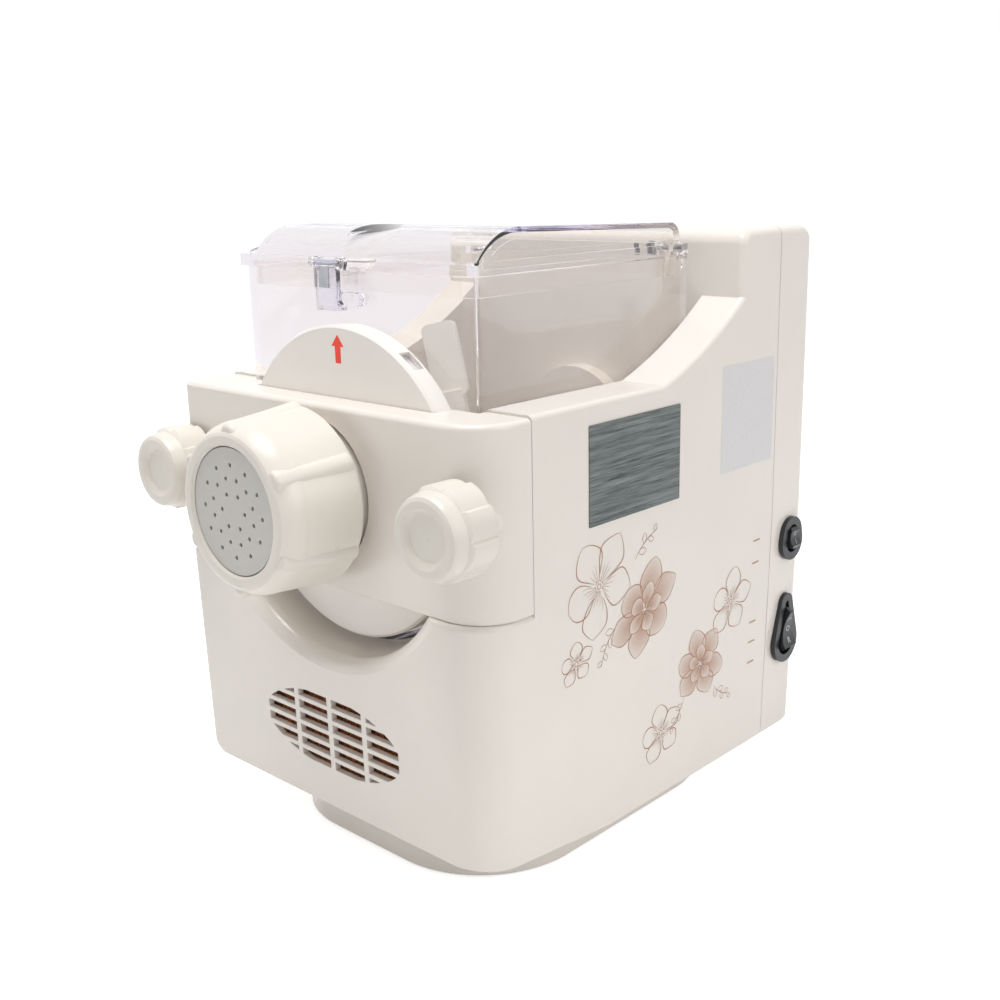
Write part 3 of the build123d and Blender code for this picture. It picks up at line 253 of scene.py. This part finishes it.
def printed(name, colour, ink):
    """Ink on moulded plastic: the tone attribute runs from bare plastic to full ink."""
    s = moulded(name, colour, roughness=0.2)
    tone = s.add("ShaderNodeAttribute", attribute_name="tone")
    stipple = s.noise(scale=900.0, detail=2.0)
    grain = s.add("ShaderNodeMapRange")
    grain.inputs["To Min"].default_value = 0.82
    grain.inputs["To Max"].default_value = 1.12
    s.join(stipple, "Fac", grain, "Value")
    coverage = s.add("ShaderNodeMath", operation="MULTIPLY")
    s.join(tone, "Fac", coverage, 0)
    s.join(grain, "Result", coverage, 1)
    mix = s.add("ShaderNodeMix", data_type="RGBA")
    s.join(coverage, "Value", mix, "Factor")
    s.join(s.tones, "Color", mix, "A")
    mix.inputs["B"].default_value = srgb(ink)
    s.join(mix, "Result", s.bsdf, "Base Color")
    return s


def clear(name, tint, roughness):
    """Clear moulding: it bends light a little, shines like a coat, and lets the lamps through."""
    s = Shader(name)
    s.mottle(s.noise(scale=20.0, detail=2.0), "Fac", tint, 0.995, 1.0)
    s.gloss(s.noise(scale=45.0, detail=3.0), roughness, 0.7, 1.4)
    s.bump(s.noise(scale=35.0, detail=2.0), "Fac", strength=0.05, distance=0.0008)
    s.put(Transmission_Weight=1.0, IOR=1.2, Coat_Weight=1.0, Coat_IOR=1.5, Coat_Roughness=0.03)
    path = s.add("ShaderNodeLightPath")
    passing = s.larger(path, "Is Shadow Ray", path, "Is Diffuse Ray")
    solid = s.add("ShaderNodeMath", operation="SUBTRACT")
    solid.inputs[0].default_value = 1.0
    s.join(passing, "Value", solid, 1)
    s.join(solid, "Value", s.bsdf, "Alpha")
    depth = s.add("ShaderNodeVolumeAbsorption")
    depth.inputs["Color"].default_value = srgb(CLEAR_DEPTH)
    depth.inputs["Density"].default_value = 13.0
    s.join(depth, "Volume", s.out, "Volume")
    return s


def brushed(name, dark, light, stretch, scale=60.0, roughness=0.32, metallic=1.0):
    """Metal with fine scratches; a small stretch along an axis makes them long that way."""
    s = Shader(name)
    streaks = s.noise(scale, 6.0, stretch, roughness=0.75)
    s.colours(streaks, "Fac", dark, light)
    s.gloss(streaks, roughness, 0.75, 1.3)
    s.bump(streaks, "Fac", strength=0.25, distance=0.0001)
    s.put(Metallic=metallic)
    return s


def machined(name, colour, roughness):
    """Bare metal with a fine even grain."""
    s = Shader(name)
    s.mottle(s.noise(scale=120.0, detail=5.0), "Fac", colour, 0.93, 1.05)
    s.gloss(s.noise(scale=300.0, detail=4.0), roughness, 0.7, 1.4)
    s.bump(s.noise(scale=800.0, detail=2.0), "Fac", strength=0.1, distance=0.0001)
    s.put(Metallic=1.0)
    return s


def foam(name, colour):
    """Open-cell filter foam, with painted shade: each cell is darker towards its middle, where the
    bump sinks it.
    """
    s = Shader(name)
    cells = s.add("ShaderNodeTexVoronoi")
    cells.inputs["Scale"].default_value = 700.0
    s.join(s.where, "Object", cells, "Vector")
    # painted shade: the colour darkens on the same cell pattern that the bump makes hollow
    s.mottle(cells, "Distance", colour, 0.45, 1.15)
    s.bump(cells, "Distance", strength=0.9, distance=0.0008)
    s.put(Roughness=0.85)
    return s


def rubber(name, colour):
    """Soft rubber with a fine grain."""
    s = Shader(name)
    s.mottle(s.noise(scale=200.0, detail=4.0), "Fac", colour, 0.85, 1.1)
    s.bump(s.noise(scale=1500.0, detail=2.0), "Fac", strength=0.2, distance=0.0002)
    s.put(Roughness=0.6)
    return s


def paper(name, colour):
    """Matt sticker stock."""
    s = Shader(name)
    s.mottle(s.noise(scale=700.0, detail=3.0), "Fac", colour, 0.97, 1.0)
    s.bump(s.noise(scale=1200.0, detail=3.0), "Fac", strength=0.08, distance=0.0001)
    s.put(Roughness=0.45)
    return s


MATERIALS = {
    "ivory_shell": moulded("ivory_shell", IVORY, roughness=0.17, soften=0.0006),
    "cream_grip": moulded("cream_grip", CREAM, roughness=0.32, soften=0.0005),
    "ivory_food": moulded("ivory_food", (243, 238, 232), roughness=0.34, peel=0.08, soften=0.0005),
    "die_grey": moulded("die_grey", (203, 200, 194), roughness=0.42, soften=0.0003),
    "nylon_white": moulded("nylon_white", (219, 216, 204), roughness=0.45),
    "charcoal": moulded("charcoal", (37, 39, 42), roughness=0.33, mottle=0.03, peel=0.15,
                        soften=0.0004),
    "dark_case": moulded("dark_case", (54, 54, 57), roughness=0.45, mottle=0.03),
    "board_green": moulded("board_green", (36, 88, 52), roughness=0.35, mottle=0.05),
    "can_white": moulded("can_white", (205, 207, 210), roughness=0.4),
    "clear_moulding": clear("clear_moulding", (254, 252, 249), roughness=0.012),
    "clear_smoke": clear("clear_smoke", (240, 239, 246), roughness=0.06),
    "seal_grey": rubber("seal_grey", (205, 202, 197)),
    "foot_rubber": rubber("foot_rubber", (42, 42, 44)),
    "filter_brown": foam("filter_brown", (150, 84, 34)),
    "steel": machined("steel", (176, 178, 182), roughness=0.25),
    "lamination": brushed("lamination", (92, 94, 98), (132, 134, 138), stretch=(1, 40, 1),
                          scale=50.0),
    "zinc_sheet": machined("zinc_sheet", (180, 183, 186), roughness=0.4),
    "cast_alloy": machined("cast_alloy", (172, 174, 178), roughness=0.5),
    "brass_metal": machined("brass_metal", (204, 158, 84), roughness=0.28),
    "copper_wire": brushed("copper_wire", (150, 74, 36), (205, 118, 66), stretch=(60, 60, 60)),
}
NAMEPLATE = brushed("nameplate_metal", (38, 45, 45), (132, 138, 137), stretch=(1, 0.035, 1),
                    scale=900.0, roughness=0.34, metallic=0.75)
LABEL = paper("label_stock", (226, 224, 224))
BROWN_PRINT = printed("brown_print", IVORY, PRINT_BROWN)
RED_PRINT = moulded("red_print", (246, 58, 28), roughness=0.35)
WHITE_PRINT = moulded("white_print", (206, 214, 222), roughness=0.5)


def dress_nodes():
    """Give every CAD node the material of its slot in the record."""
    slots = {p["node"]: p["material_slot"] for p in frame["record"]["subparts"]}
    for name, node in frame["nodes"].items():
        node.data.materials.clear()
        node.data.materials.append(MATERIALS[slots[name]].material)


# ---------------------------------------------------------------- pieces on the surface
def show(name, mesh, shader, body):
    """An object of a mesh, in one material, that rides on a body."""
    mesh.materials.clear()
    mesh.materials.append(shader.material)
    obj = bpy.data.objects.new(name, mesh)
    bpy.context.scene.collection.objects.link(obj)
    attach(obj, body)
    return obj


def piece(name, verts, faces, shader, body, tones=None):
    """A piece made of lists, in metres."""
    mesh = bpy.data.meshes.new(name)
    mesh.from_pydata(verts, [], faces)
    mesh.update()
    if tones:
        layer = mesh.attributes.new("tone", "FLOAT", "POINT")
        layer.data.foreach_set("value", tones)
    show(name, mesh, shader, body)


def side_point(y, z, lift):
    """A point over the side wall, in metres, from its y, z and lift in millimetres."""
    x = SIDE_X - max(0.0, DRAFT_TOP_Z - z) * DRAFT
    return ((x + lift) * MM, y * MM, z * MM)


def rounded_plate(name, y_span, z_span, thickness, corner, shader):
    """Flat plate stuck to the side wall, with small round corners and a fine edge bevel."""
    (y0, y1), (z0, z1) = y_span, z_span
    corners = ((y1 - corner, z1 - corner, 0), (y0 + corner, z1 - corner, 90),
               (y0 + corner, z0 + corner, 180), (y1 - corner, z0 + corner, 270))
    outline = []
    for cy, cz, start in corners:
        for step in range(PLATE_ARC_STEPS + 1):
            angle = math.radians(start + 90 / PLATE_ARC_STEPS * step)
            outline.append((cy + corner * math.cos(angle), cz + corner * math.sin(angle)))
    solid = bmesh.new()
    base = solid.faces.new([solid.verts.new((SIDE_X * MM, y * MM, z * MM)) for y, z in outline])
    grown = bmesh.ops.extrude_face_region(solid, geom=[base])
    top = [v for v in grown["geom"] if isinstance(v, bmesh.types.BMVert)]
    bmesh.ops.translate(solid, verts=top, vec=(thickness * MM, 0, 0))
    bmesh.ops.recalc_face_normals(solid, faces=solid.faces)
    mesh = bpy.data.meshes.new(name)
    solid.to_mesh(mesh)
    solid.free()
    edge = show(name, mesh, shader, "housing").modifiers.new("edge", "BEVEL")
    edge.width = thickness * PLATE_BEVEL * MM
    edge.segments = 2
    edge.limit_method = "ANGLE"


def surface_of(node):
    """Search tree over a CAD node's faces, for laying a print on it."""
    mesh = bmesh.new()
    mesh.from_mesh(frame["nodes"][node].data)
    tree = BVHTree.FromBMesh(mesh)
    mesh.free()
    return tree


def letters_mesh(name, letters, height):
    """Flat mesh of letters round the origin, in metres."""
    curve = bpy.data.curves.new(name, "FONT")
    curve.body = letters
    curve.size = height * FONT_SIZE * MM
    curve.align_x, curve.align_y = "CENTER", "CENTER"
    curve.resolution_u = 4
    source = bpy.data.objects.new(name, curve)
    bpy.context.scene.collection.objects.link(source)
    bpy.context.view_layer.update()
    evaluated = source.evaluated_get(bpy.context.evaluated_depsgraph_get())
    mesh = bpy.data.meshes.new_from_object(evaluated)
    bpy.data.objects.remove(source)
    return mesh


def legend(name, letters, height, y, z, rocker):
    """White letters round a y and z in millimetres, laid on the +X face of a rocker."""
    mesh = letters_mesh(name, letters, height)
    surface = surface_of(rocker)
    for vertex in mesh.vertices:
        flat_y, flat_z = y * MM + vertex.co.x, z * MM + vertex.co.y
        hit = surface.ray_cast(Vector((RAY_START_M, flat_y, flat_z)), Vector((-1, 0, 0)))[0]
        vertex.co = ((hit.x if hit else SIDE_X * MM) + PRINT_LIFT * MM, flat_y, flat_z)
    show(name, mesh, WHITE_PRINT, rocker)


def make_legends():
    for rocker, (middle, legends) in LEGENDS.items():
        for name, letters, height, rise in legends:
            legend(name, letters, height, middle[0], middle[1] + rise, rocker)


def make_arrow():
    """Red arrow on the end disc that shows which way up it goes."""
    outline = [(0, ARROW_TIP_Z), (-ARROW_HEAD_HALF, ARROW_NECK_Z),
               (-ARROW_STEM_HALF, ARROW_NECK_Z), (-ARROW_STEM_HALF, ARROW_FOOT_Z),
               (ARROW_STEM_HALF, ARROW_FOOT_Z), (ARROW_STEM_HALF, ARROW_NECK_Z),
               (ARROW_HEAD_HALF, ARROW_NECK_Z)]
    y = DISC_FACE_Y - PRINT_LIFT
    verts = [(x * MM, y * MM, z * MM) for x, z in outline]
    piece("up_arrow", verts, [tuple(range(len(verts)))], RED_PRINT, "front_set")


def make_side_plates():
    rounded_plate("nameplate_blank", y_span=(-57.9, 8.2), z_span=(168.0, 212.7), thickness=0.5,
                  corner=0.6, shader=NAMEPLATE)
    rounded_plate("label_blank", y_span=(43.0, 89.0), z_span=(172.5, 225.0), thickness=0.12,
                  corner=0.8, shader=LABEL)


# ---------------------------------------------------------------- prints on the side wall
class Print:
    """Flat brown shapes on the side wall, gathered in one piece with an ink tone at each point."""

    def __init__(self, lift=0.0):
        self.lift = PRINT_LIFT + lift
        self.verts, self.faces, self.tones = [], [], []

    def shape(self, points, faces, tones, height=0.0):
        start = len(self.verts)
        self.verts += [side_point(y, z, self.lift + height) for y, z in points]
        self.faces += [tuple(start + i for i in face) for face in faces]
        self.tones += tones

    def line(self, points, width, tone, height):
        band, quads = ribbon(points, width)
        self.shape(band, quads, [tone] * len(band), height)

    def finish(self, name):
        piece(name, self.verts, self.faces, BROWN_PRINT, "housing", self.tones)


def make_tick_marks():
    """Short printed ticks beside each switch position."""
    y0, y1 = TICK_Y_SPAN
    for number, z in enumerate(TICK_HEIGHTS, start=1):
        tick = Print()
        corners = [(y0, z - TICK_HALF), (y1, z - TICK_HALF), (y1, z + TICK_HALF), (y0, z + TICK_HALF)]
        tick.shape(corners, [(0, 1, 2, 3)], [TICK_TONE] * 4)
        tick.finish(f"position_tick_{number}")


def ribbon(line, width):
    """Thin band along a line of (y, z) points, tapering at both ends."""
    verts, faces = [], []
    last = len(line) - 1
    for index, (y, z) in enumerate(line):
        before, after = line[max(index - 1, 0)], line[min(index + 1, last)]
        dy, dz = after[0] - before[0], after[1] - before[1]
        length = math.hypot(dy, dz) or 1.0
        taper = RIBBON_TIP + (1 - RIBBON_TIP) * math.sin(math.pi * (index / last))
        half = width / 2 * taper
        side_y, side_z = -dz / length * half, dy / length * half
        verts += [(y + side_y, z + side_z), (y - side_y, z - side_z)]
        if index:
            first = 2 * index
            faces.append((first - 2, first - 1, first + 1, first))
    return verts, faces


def turned(point, angle):
    """A flat point turned about the origin."""
    u, v = point
    cosine, sine = math.cos(angle), math.sin(angle)
    return u * cosine - v * sine, u * sine + v * cosine


def petal_edge(length, width, phase):
    """Places along a petal with its half-widths: narrow base, broad shoulder, ruffled tip.

    The phase sets where the waves start, so that petals differ.
    """
    edge = []
    for step in range(PETAL_STEPS + 1):
        t = step / PETAL_STEPS
        swell = math.sin(math.pi * t ** PETAL_SHOULDER) ** PETAL_FULLNESS if 0 < t < 1 else 0.0
        wave = 1 + PETAL_RUFFLE * math.sin(11.0 * t + phase) * t
        stretch = 1 + PETAL_STRETCH * math.sin(7.0 * t + phase)
        edge.append((t * length * stretch, width / 2 * swell * wave))
    return edge


def petal_wash(rows, petal):
    """Points, faces and tones of a petal's fill, which fades from its heart to its tip."""
    points, quads, tones = [], [], []
    across = len(rows)
    rim = RIM_TONE * max(0.0, math.sin(2.0 * petal + 1.0))
    for step, row_points in enumerate(zip(*rows)):
        t = step / PETAL_STEPS
        points += row_points
        core = max(0.0, 1.0 - WASH_FADE * t) ** WASH_CURVE
        inks = [core * share for share in ROW_TONES]
        inks[0] += rim * t
        tones += inks
        if step:
            first = across * step
            quads += [(first - across + row, first - across + row + 1, first + row + 1, first + row)
                      for row in range(across - 1)]
    return points, quads, tones


def place(points, centre, angle, squash):
    """Turn points to a petal's direction, foreshorten the flower, and move it to its centre."""
    lean, amount = squash
    placed = []
    for point in points:
        along, across = turned(turned(point, angle), -lean)
        y, z = turned((along, across * amount), lean)
        placed.append((centre[0] + y, centre[1] + z))
    return placed


def blossom(name, centre, petals, length, width, turn, squash, shaded=False, line_width=0.6,
            lift=0.0):
    """A flower of outlined petals; a shaded one has a brown wash as well.

    Sines of the petal's number make each petal a little different.
    """
    flower = Print(lift)
    for petal in range(petals):
        swing = PETAL_SWING * math.sin(3.1 * petal + turn)
        angle = turn + 2 * math.pi * petal / petals + swing
        reach = length * (1 + PETAL_REACH * math.sin(2.3 * petal + turn))
        edge = petal_edge(reach, width, 1.7 * petal)
        rows = [place([(PETAL_START + u, v * share) for u, v in edge], centre, angle, squash)
                for share in ROWS]
        if shaded:
            flower.shape(*petal_wash(rows, petal), WASH_LIFT * (petal % 2))
        for side in (rows[0], rows[-1]):
            flower.line(side[OUTLINE_FIRST:], line_width, OUTLINE_TONE, LINE_LIFT)
        for share in VEINS:
            extent = VEIN_LENGTH + VEIN_CHANGE * math.cos(5.0 * share + petal)
            vein = [(PETAL_START + u * extent, v * share) for u, v in edge[VEIN_STEPS]]
            flower.line(place(vein, centre, angle, squash), line_width / 2, VEIN_TONE, LINE_LIFT)
    for number in range(DOTS):
        out_y, out_z = turned((DOT_RING + DOT_RING_STEP * (number % 2), 0.0),
                              2 * math.pi * number / DOTS)
        dot = [turned((DOT_RADIUS, 0.0), math.pi / 2 * corner) for corner in range(4)]
        corners = [(centre[0] + out_y + y, centre[1] + out_z + z) for y, z in dot]
        flower.shape(corners, [(0, 1, 2, 3)], [DOT_TONE] * 4, DOT_LIFT)
    flower.finish(name)


def sprig(name, start, heading, length, leaves, bend):
    """A curved stem with small outlined leaves on either side in turn."""
    twig = Print()
    stem = [start]
    for step in range(1, STEM_STEPS + 1):
        y, z = turned((length / STEM_STEPS, 0.0), heading + bend * step / STEM_STEPS)
        stem.append((stem[-1][0] + y, stem[-1][1] + z))
    twig.line(stem, SPRIG_LINE, STEM_TONE, SPRIG_LIFT)
    for leaf in range(leaves):
        root = stem[int(STEM_STEPS * (leaf + 1) / (leaves + BARE_TIP))]
        side = 1 if leaf % 2 else -1
        angle = heading + bend * (leaf + 1) / leaves + side * LEAF_ANGLE
        size = length * LEAF_LENGTH * (1 - LEAF_SHRINK * leaf / leaves)
        for edge in (1, -1):
            line = []
            for step in range(LEAF_STEPS + 1):
                t = step / LEAF_STEPS
                point = (t * size, edge * LEAF_HALF * size * math.sin(math.pi * t))
                y, z = turned(point, angle)
                line.append((root[0] + y, root[1] + z))
            twig.line(line, SPRIG_LINE, LEAF_TONE, SPRIG_LIFT)
    twig.finish(name)


def make_upper_flowers():
    """Blossoms of the group below the nameplate."""
    shaded = dict(centre=(-17.0, 120.0), squash=(0.6, 0.82), shaded=True)
    blossom("bloom_line_upper", (-51.0, 140.0), petals=5, length=23.0, width=18.0, turn=0.9,
            squash=(0.3, 0.92))
    blossom("bloom_shaded_upper", petals=6, length=24.0, width=17.0, turn=0.35, **shaded)
    blossom("bloom_heart_upper", petals=5, length=12.0, width=9.5, turn=0.1, line_width=0.5,
            lift=0.06, **shaded)
    blossom("bloom_bud_upper", (-66.0, 108.0), petals=5, length=10.0, width=8.0, turn=0.4,
            squash=(0.2, 0.85), line_width=0.5)


def make_lower_flowers():
    """Blossoms of the group towards the switches."""
    shaded = dict(centre=(31.0, 78.0), squash=(-0.4, 0.85), shaded=True)
    blossom("bloom_line_lower", (56.0, 104.0), petals=5, length=17.0, width=13.0, turn=0.2,
            squash=(0.3, 0.9))
    blossom("bloom_shaded_lower", petals=6, length=20.0, width=14.5, turn=0.8, **shaded)
    blossom("bloom_heart_lower", petals=5, length=10.0, width=8.0, turn=0.3, line_width=0.5,
            lift=0.06, **shaded)
    blossom("bloom_small_lower", (-1.0, 52.0), petals=5, length=15.0, width=12.0, turn=0.5,
            squash=(0.1, 0.88))


def make_sprigs():
    sprig("sprig_upper_a", (-38.0, 118.0), heading=-2.5, length=20.0, leaves=5, bend=0.7)
    sprig("sprig_upper_b", (-25.0, 146.0), heading=0.9, length=20.0, leaves=4, bend=-0.6)
    sprig("sprig_lower_a", (18.0, 64.0), heading=-2.0, length=18.0, leaves=4, bend=-0.5)
    sprig("sprig_lower_b", (44.0, 62.0), heading=-0.9, length=18.0, leaves=5, bend=0.7)


# ---------------------------------------------------------------- set and camera
def make_camera():
    azimuth, elevation, roll = (math.radians(a) for a in (AZIMUTH, ELEVATION, ROLL))
    back = Vector((math.sin(azimuth) * math.cos(elevation),
                   -math.cos(azimuth) * math.cos(elevation), math.sin(elevation)))
    right = (-back).cross(Vector((0, 0, 1))).normalized()
    up = right.cross(-back)
    rolled_right = math.cos(roll) * right + math.sin(roll) * up
    rolled_up = -math.sin(roll) * right + math.cos(roll) * up
    data = bpy.data.cameras.new("camera")
    data.lens, data.sensor_width = LENS, SENSOR
    data.clip_start, data.clip_end = NEAR_M, FAR_M
    camera = bpy.data.objects.new("camera", data)
    facing = Matrix((rolled_right, rolled_up, back)).transposed().to_4x4()
    camera.matrix_world = Matrix.Translation(Vector(CAMERA_MM) * MM) @ facing
    bpy.context.scene.collection.objects.link(camera)
    bpy.context.scene.camera = camera


def lamp(name, place_at, aim, size, power):
    """Round lamp, in metres and watts."""
    data = bpy.data.lights.new(name, "AREA")
    data.shape, data.size, data.energy = "DISK", size, power
    obj = bpy.data.objects.new(name, data)
    obj.location = place_at
    obj.rotation_mode = "QUATERNION"
    obj.rotation_quaternion = (Vector(aim) - Vector(place_at)).to_track_quat("-Z", "Y")
    bpy.context.scene.collection.objects.link(obj)


def make_light():
    lamp("lamp_top", place_at=(-0.02, -0.2, 1.15), aim=(0, 0, 0.15), size=0.6, power=7.0)
    lamp("lamp_left", place_at=(-1.4, -0.9, 0.8), aim=(0, -0.05, 0.15), size=0.7, power=1.5)
    lamp("lamp_side", place_at=(1.6, 0.1, 0.75), aim=(0.05, 0, 0.15), size=1.0, power=5.4)


def seen_white(nodes, surface, strength):
    """Adds white for camera, glossy and transmission rays only, so that no light is added."""
    path = nodes.add("ShaderNodeLightPath")
    direct = nodes.larger(path, "Is Camera Ray", path, "Is Glossy Ray")
    seen = nodes.larger(direct, "Value", path, "Is Transmission Ray")
    level = nodes.add("ShaderNodeMath", operation="MULTIPLY")
    level.inputs[1].default_value = strength
    nodes.join(seen, "Value", level, 0)
    tint = nodes.add("ShaderNodeMix", data_type="RGBA")
    tint.inputs["A"].default_value = WHITE
    tint.inputs["B"].default_value = srgb(BEHIND_PLASTIC)
    nodes.join(path, "Is Transmission Ray", tint, "Factor")
    glow = nodes.add("ShaderNodeEmission")
    nodes.join(level, "Value", glow, "Strength")
    nodes.join(tint, "Result", glow, "Color")
    total = nodes.add("ShaderNodeAddShader")
    nodes.join(surface, 0, total, 0)
    nodes.join(glow, 0, total, 1)
    return total


def make_floor():
    mesh = bpy.data.meshes.new("floor")
    half = FLOOR_HALF_M
    mesh.from_pydata([(-half, -half, 0), (half, -half, 0), (half, half, 0), (-half, half, 0)],
                     [], [(0, 1, 2, 3)])
    floor = bpy.data.objects.new("floor", mesh)
    bpy.context.scene.collection.objects.link(floor)
    material = bpy.data.materials.new("floor_paper")
    nodes = Nodes(material)
    out = nodes.add("ShaderNodeOutputMaterial")
    matt = nodes.add("ShaderNodeBsdfDiffuse")
    matt.inputs["Color"].default_value = FLOOR_COLOUR
    nodes.join(seen_white(nodes, matt, FLOOR_GLOW), 0, out, "Surface")
    mesh.materials.append(material)


def make_world():
    world = bpy.data.worlds.new("studio")
    nodes = Nodes(world)
    out = nodes.add("ShaderNodeOutputWorld")
    soft = nodes.add("ShaderNodeBackground")
    soft.inputs["Color"].default_value = WHITE
    soft.inputs["Strength"].default_value = SOFT_LIGHT
    nodes.join(seen_white(nodes, soft, WORLD_GLOW), 0, out, "Surface")
    bpy.context.scene.world = world
    bpy.context.scene.view_settings.view_transform = "Standard"


make_camera()
make_world()
make_floor()
make_light()
dress_nodes()
make_side_plates()
make_arrow()
make_legends()
make_tick_marks()
make_upper_flowers()
make_lower_flowers()
make_sprigs()
